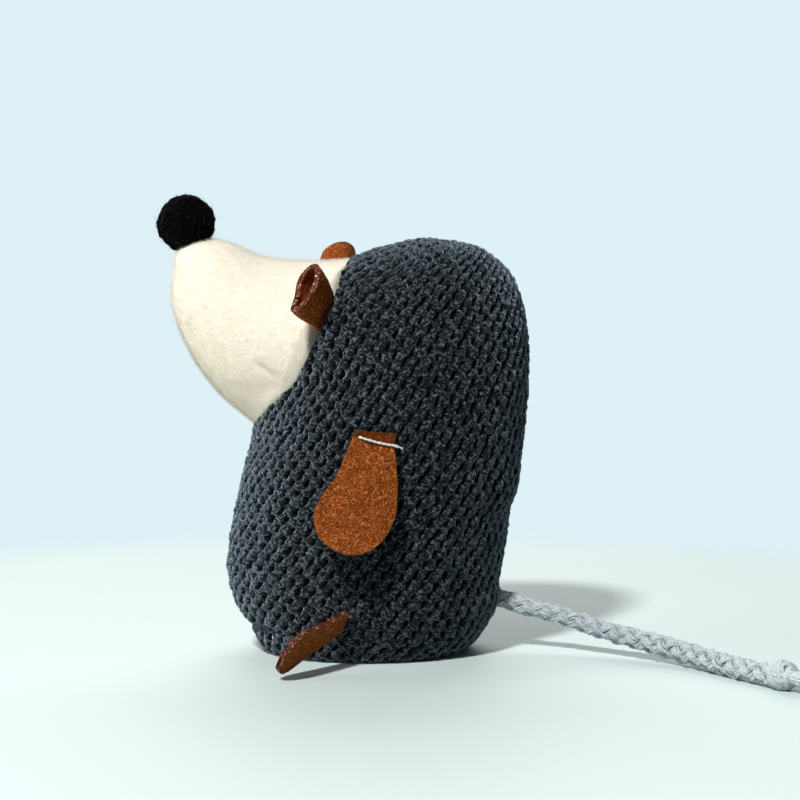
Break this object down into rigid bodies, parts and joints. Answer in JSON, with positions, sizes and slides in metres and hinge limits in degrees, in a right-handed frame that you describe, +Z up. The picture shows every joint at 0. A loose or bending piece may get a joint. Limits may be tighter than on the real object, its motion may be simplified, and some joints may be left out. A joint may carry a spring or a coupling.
{
  "type": "catnip mouse",
  "caption": "Stuffed mouse cat toy with a knit body on a flat base, plush head, felt-ball nose, felt ears, arms and feet, and a braided cord tail; a catnip sachet inside.",
  "frame": {"origin": "centre of the flat base, on the surface that the mouse stands on", "axes": "+Z up; the mouse faces -X, its tail leaves towards +X, and its left side is -Y"},
  "size_m": [0.1654, 0.1195, 0.1196],
  "materials": {
    "knit": "dark slate waffle knit",
    "plush": "cream short-pile plush",
    "fibrefill": "white polyester fibrefill",
    "sachet": "non-woven sheet",
    "herb": "dried herb",
    "black_felt": "felted wool",
    "brown_felt": "pressed felt with a melted cut edge",
    "thread": "twisted sewing thread",
    "cotton": "braided cotton"
  },
  "bodies": {
    "toy": {"body_left_panel": "knit", "body_right_panel": "knit", "base_panel": "knit", "head_left_panel": "plush", "head_right_panel": "plush", "body_stuffing": "fibrefill", "head_stuffing": "fibrefill", "sachet_top_sheet": "sachet", "sachet_bottom_sheet": "sachet", "catnip_filling": "herb", "nose_ball": "black_felt", "nose_thread": "thread", "arm_left_tab": "brown_felt", "arm_left_stitch": "thread", "arm_right_tab": "brown_felt", "arm_right_stitch": "thread", "tail_inner_knot": "cotton"},
    "ear_left": {"ear_left": "brown_felt"},
    "ear_right": {"ear_right": "brown_felt"},
    "arm_left": {"arm_left": "brown_felt"},
    "arm_right": {"arm_right": "brown_felt"},
    "foot_left": {"foot_left": "brown_felt"},
    "foot_right": {"foot_right": "brown_felt"},
    "tail": {"tail_cord": "cotton", "tail_knot": "cotton", "tail_tuft": "cotton"}
  },
  "joints": [
    {"name": "ear_left_bend", "type": "hinge", "parent": "toy", "child": "ear_left", "pos_m": [-0.01196, -0.02207, 0.09039], "axis": [0.4129, 0.357, 0.8379], "range_deg": [-20, 20], "stiffness_Nm_per_rad": 0.002},
    {"name": "ear_right_bend", "type": "hinge", "parent": "toy", "child": "ear_right", "pos_m": [-0.0092, 0.0185, 0.09629], "axis": [-0.3174, 0.5817, -0.749], "range_deg": [-20, 20], "stiffness_Nm_per_rad": 0.002},
    {"name": "arm_left_swing", "type": "hinge", "parent": "toy", "child": "arm_left", "pos_m": [0.0019, -0.03426, 0.0574], "axis": [-0.9703, 0, 0.2419], "range_deg": [-4, 90], "stiffness_Nm_per_rad": 0.001},
    {"name": "arm_right_swing", "type": "hinge", "parent": "toy", "child": "arm_right", "pos_m": [0.0019, 0.03426, 0.0574], "axis": [0.9703, 0, -0.2419], "range_deg": [-4, 90], "stiffness_Nm_per_rad": 0.001},
    {"name": "foot_left_bend", "type": "hinge", "parent": "toy", "child": "foot_left", "pos_m": [-0.00667, -0.02983, 0.0114], "axis": [-0.3186, 0.5518, -0.7708], "range_deg": [-2, 40], "stiffness_Nm_per_rad": 0.004},
    {"name": "foot_right_bend", "type": "hinge", "parent": "toy", "child": "foot_right", "pos_m": [-0.00667, 0.02984, 0.0114], "axis": [0.3186, 0.5518, 0.7708], "range_deg": [-2, 40], "stiffness_Nm_per_rad": 0.004},
    {"name": "tail_swing", "type": "hinge", "parent": "toy", "child": "tail", "pos_m": [0.03519, 0, 0.0134], "axis": [0, 0, 1], "range_deg": [-35, 35]}
  ]
}
